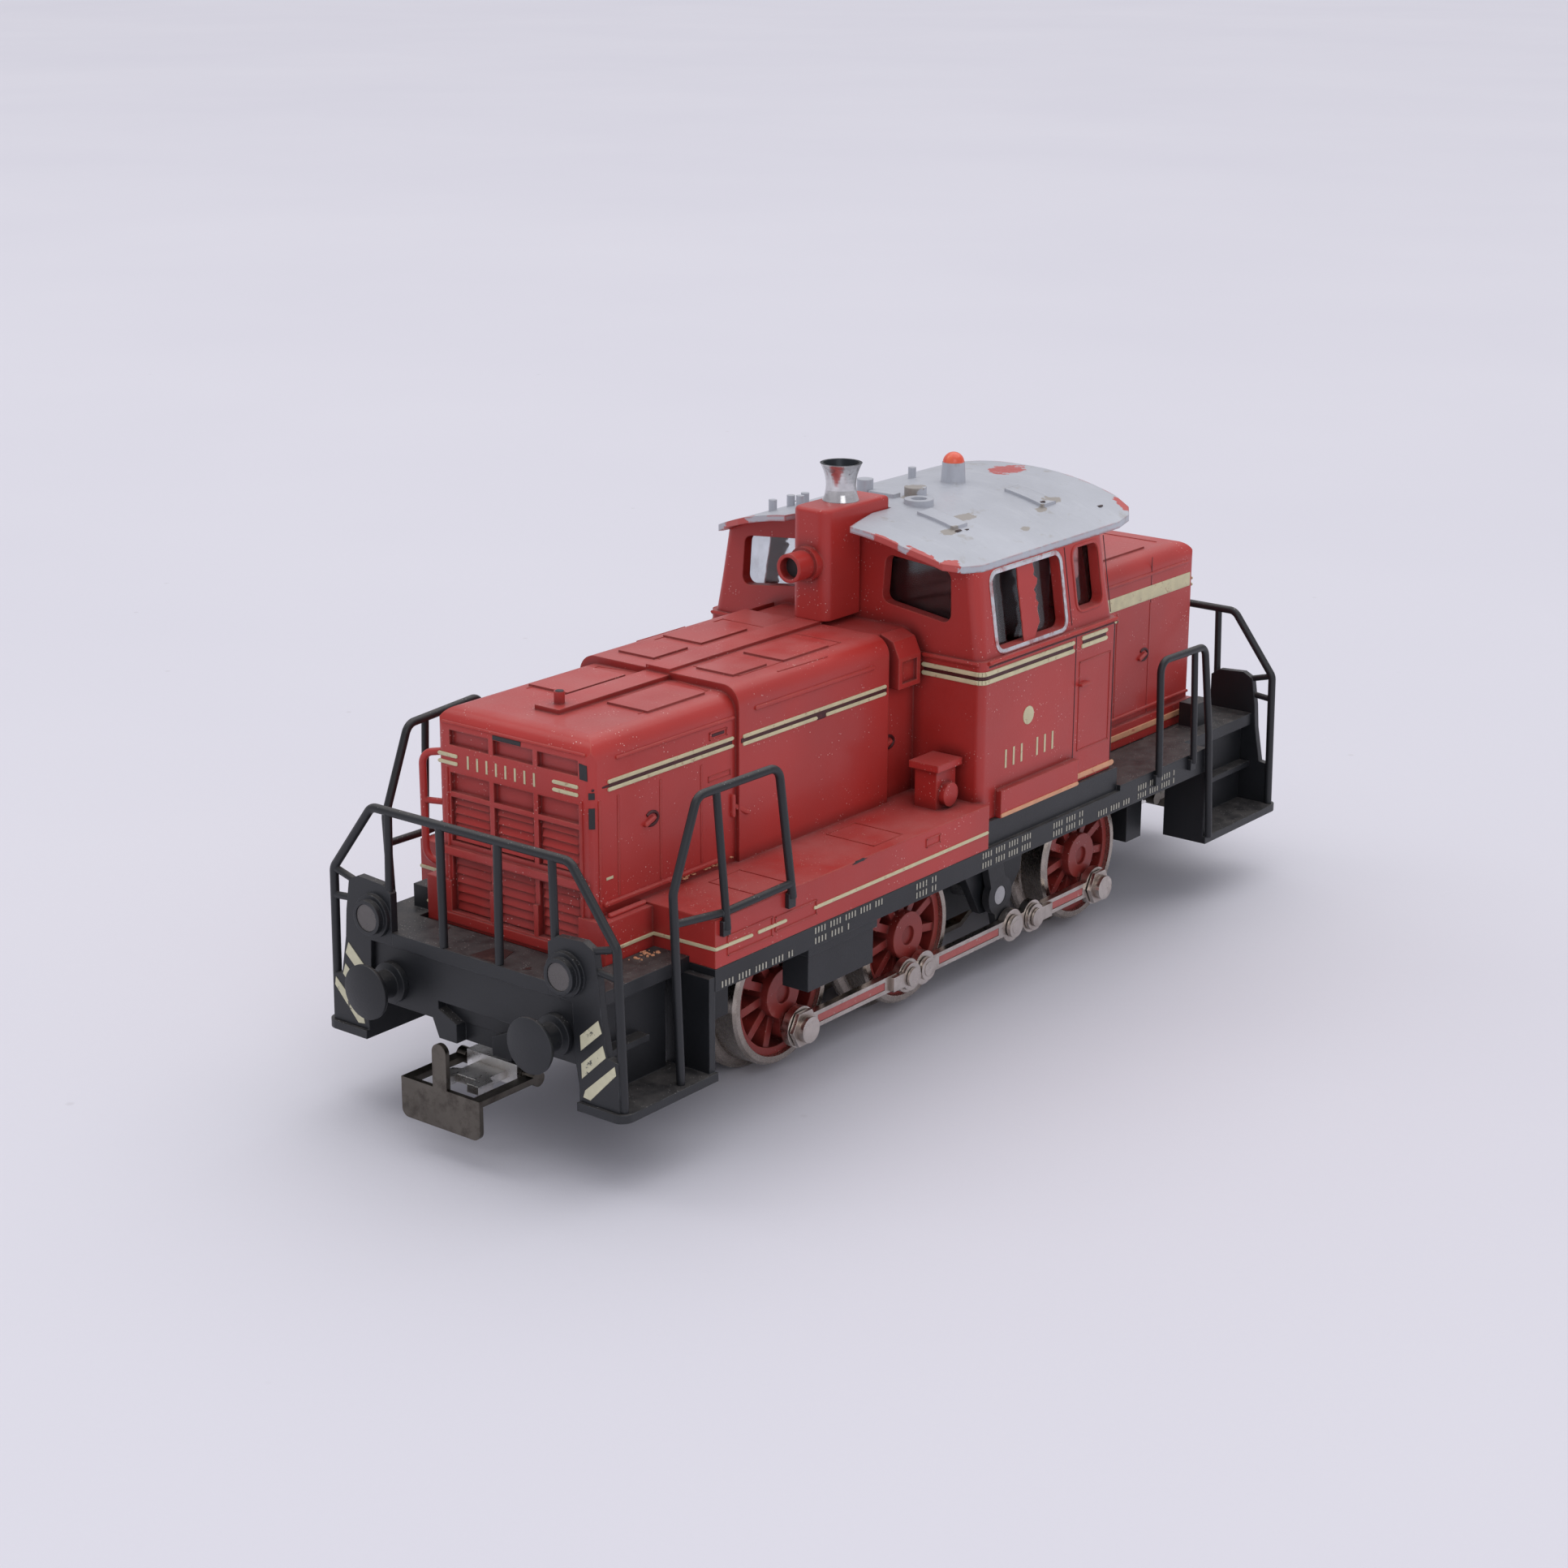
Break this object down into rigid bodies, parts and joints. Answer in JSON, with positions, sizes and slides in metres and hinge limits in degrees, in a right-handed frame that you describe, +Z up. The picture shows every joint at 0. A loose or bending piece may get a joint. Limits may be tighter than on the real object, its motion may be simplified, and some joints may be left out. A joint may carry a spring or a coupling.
{
  "type": "model diesel locomotive",
  "caption": "Small-scale three-axle diesel shunter with a long and a short hood, offset cab, end railings, jackshaft and coupling rods, geared motor and swinging couplers.",
  "frame": {"origin": "midpoint of the length over couplers, on the centreline, at the bottom of the wheel flanges", "axes": "+X towards the long-hood end, +Y to the left side, +Z up"},
  "size_m": [0.1212, 0.0378, 0.0542],
  "materials": {
    "body_red": "satin moulded plastic with a little dust",
    "roof_silver": "satin silver-grey paint, chipped at the edges",
    "beacon_orange": "gloss",
    "chimney_chrome": "bright plating with a worn rim",
    "window_clear": "clear",
    "frame_black": "matte, dusty",
    "lamp_clear": "milky clear",
    "chassis_zinc": "blackened casting",
    "screw_steel": "turned",
    "tyre_nickel": "turned, nickel plated",
    "wheel_red": "satin",
    "rod_nickel": "nickel plated",
    "gear_brass": "machined",
    "motor_iron": "laminated iron",
    "coil_copper": "enamelled wire",
    "carbon": "matte carbon",
    "insulator_brown": "laminated insulating board",
    "shoe_steel": "sprung bronze strip",
    "coupler_bronze": "blackened spring steel",
    "coupler_steel": "plain pressed steel"
  },
  "bodies": {
    "chassis": {"chassis_frame": "chassis_zinc", "chassis_screws": "screw_steel", "underframe": "frame_black", "front_end_frame": "frame_black", "rear_end_frame": "frame_black", "front_railing": "frame_black", "rear_railing": "frame_black", "headlamp_lenses": "lamp_clear", "corner_handrails": "frame_black", "buffers": "frame_black", "coupler_pivots": "screw_steel", "body_shell": "body_red", "cab_roof": "roof_silver", "beacon_cap": "beacon_orange", "window_insert": "window_clear", "exhaust_housing": "body_red", "chimney": "chimney_chrome", "hood_grab_rail": "body_red", "relay_frame": "motor_iron", "relay_coil": "coil_copper", "bulbs": "lamp_clear", "pickup_plate": "insulator_brown", "motor_stator": "motor_iron", "field_coil": "coil_copper", "brush_plate": "insulator_brown", "carbon_brushes": "carbon", "idler_pin": "screw_steel"},
    "front_wheelset": {"front_tyres": "tyre_nickel", "front_wheel_centres": "wheel_red", "front_axle": "screw_steel", "front_crank_pins": "rod_nickel"},
    "middle_wheelset": {"middle_tyres": "tyre_nickel", "middle_wheel_centres": "wheel_red", "middle_axle": "screw_steel", "middle_crank_pins": "rod_nickel"},
    "rear_wheelset": {"rear_tyres": "tyre_nickel", "rear_wheel_centres": "wheel_red", "rear_axle": "screw_steel", "rear_crank_pins": "rod_nickel", "rear_axle_gear": "gear_brass"},
    "jackshaft": {"jackshaft_axle": "screw_steel", "jackshaft_cranks": "rod_nickel"},
    "left_rods": {"front_rod_left": "rod_nickel", "middle_rod_left": "rod_nickel", "rear_rod_left": "rod_nickel"},
    "right_rods": {"front_rod_right": "rod_nickel", "middle_rod_right": "rod_nickel", "rear_rod_right": "rod_nickel"},
    "idler": {"idler_gear": "gear_brass"},
    "armature": {"armature_shaft": "screw_steel", "armature_core": "motor_iron", "armature_windings": "coil_copper", "commutator": "coil_copper", "motor_pinion": "gear_brass"},
    "relay_lever": {"relay_lever": "motor_iron"},
    "front_coupler": {"front_coupler_head": "coupler_steel"},
    "front_bail": {"front_coupler_bail": "coupler_bronze"},
    "rear_coupler": {"rear_coupler_head": "coupler_steel"},
    "rear_bail": {"rear_coupler_bail": "coupler_bronze"},
    "pickup_shoe": {"pickup_shoe": "shoe_steel"}
  },
  "joints": [
    {"name": "rear_axle_spin", "type": "hinge", "parent": "chassis", "child": "rear_wheelset", "pos_m": [-0.026, 0, 0.0082], "axis": [0, 1, 0], "continuous": true},
    {"name": "middle_axle_spin", "type": "hinge", "parent": "chassis", "child": "middle_wheelset", "pos_m": [0.0058, 0, 0.0082], "axis": [0, 1, 0], "continuous": true},
    {"name": "front_axle_spin", "type": "hinge", "parent": "chassis", "child": "front_wheelset", "pos_m": [0.026, 0, 0.0082], "axis": [0, 1, 0], "continuous": true},
    {"name": "jackshaft_spin", "type": "hinge", "parent": "chassis", "child": "jackshaft", "pos_m": [-0.0099, 0, 0.0082], "axis": [0, 1, 0], "continuous": true},
    {"name": "left_rods_turn", "type": "hinge", "parent": "rear_wheelset", "child": "left_rods", "pos_m": [-0.027, 0.0125, 0.0048], "axis": [0, 1, 0], "continuous": true},
    {"name": "right_rods_turn", "type": "hinge", "parent": "rear_wheelset", "child": "right_rods", "pos_m": [-0.0226, -0.0125, 0.0072], "axis": [0, 1, 0], "continuous": true},
    {"name": "idler_spin", "type": "hinge", "parent": "chassis", "child": "idler", "pos_m": [-0.01824, -0.0053, 0.01682], "axis": [0, 1, 0], "continuous": true},
    {"name": "armature_spin", "type": "hinge", "parent": "chassis", "child": "armature", "pos_m": [-0.0143, 0, 0.02424], "axis": [0, 1, 0], "continuous": true},
    {"name": "relay_lever_tilt", "type": "hinge", "parent": "chassis", "child": "relay_lever", "pos_m": [0.0312, 0, 0.0202], "axis": [0, 1, 0], "range_deg": [-7, 0], "stiffness_Nm_per_rad": 0.0005, "springref_deg": 11.46},
    {"name": "front_coupler_swing", "type": "hinge", "parent": "chassis", "child": "front_coupler", "pos_m": [0.0495, 0, 0.0071], "axis": [0, 0, 1], "range_deg": [-8, 8]},
    {"name": "front_bail_lift", "type": "hinge", "parent": "front_coupler", "child": "front_bail", "pos_m": [0.0529, 0, 0.0066], "axis": [0, -1, 0], "range_deg": [0, 20]},
    {"name": "rear_coupler_swing", "type": "hinge", "parent": "chassis", "child": "rear_coupler", "pos_m": [-0.0495, 0, 0.0071], "axis": [0, 0, 1], "range_deg": [-8, 8]},
    {"name": "rear_bail_lift", "type": "hinge", "parent": "rear_coupler", "child": "rear_bail", "pos_m": [-0.0529, 0, 0.0066], "axis": [0, 1, 0], "range_deg": [0, 20]},
    {"name": "pickup_shoe_slide", "type": "slide", "parent": "chassis", "child": "pickup_shoe", "axis": [0, 0, 1], "range_m": [0, 0.0009], "stiffness_N_per_m": 60, "springref_m": -0.0006}
  ],
  "couplings": [
    {"joint": "middle_axle_spin", "follows": "rear_axle_spin", "ratio": 1},
    {"joint": "front_axle_spin", "follows": "rear_axle_spin", "ratio": 1},
    {"joint": "jackshaft_spin", "follows": "rear_axle_spin", "ratio": 1},
    {"joint": "left_rods_turn", "follows": "rear_axle_spin", "ratio": -1},
    {"joint": "right_rods_turn", "follows": "rear_axle_spin", "ratio": -1},
    {"joint": "idler_spin", "follows": "rear_axle_spin", "ratio": -0.93333},
    {"joint": "armature_spin", "follows": "rear_axle_spin", "ratio": 2.3333}
  ]
}
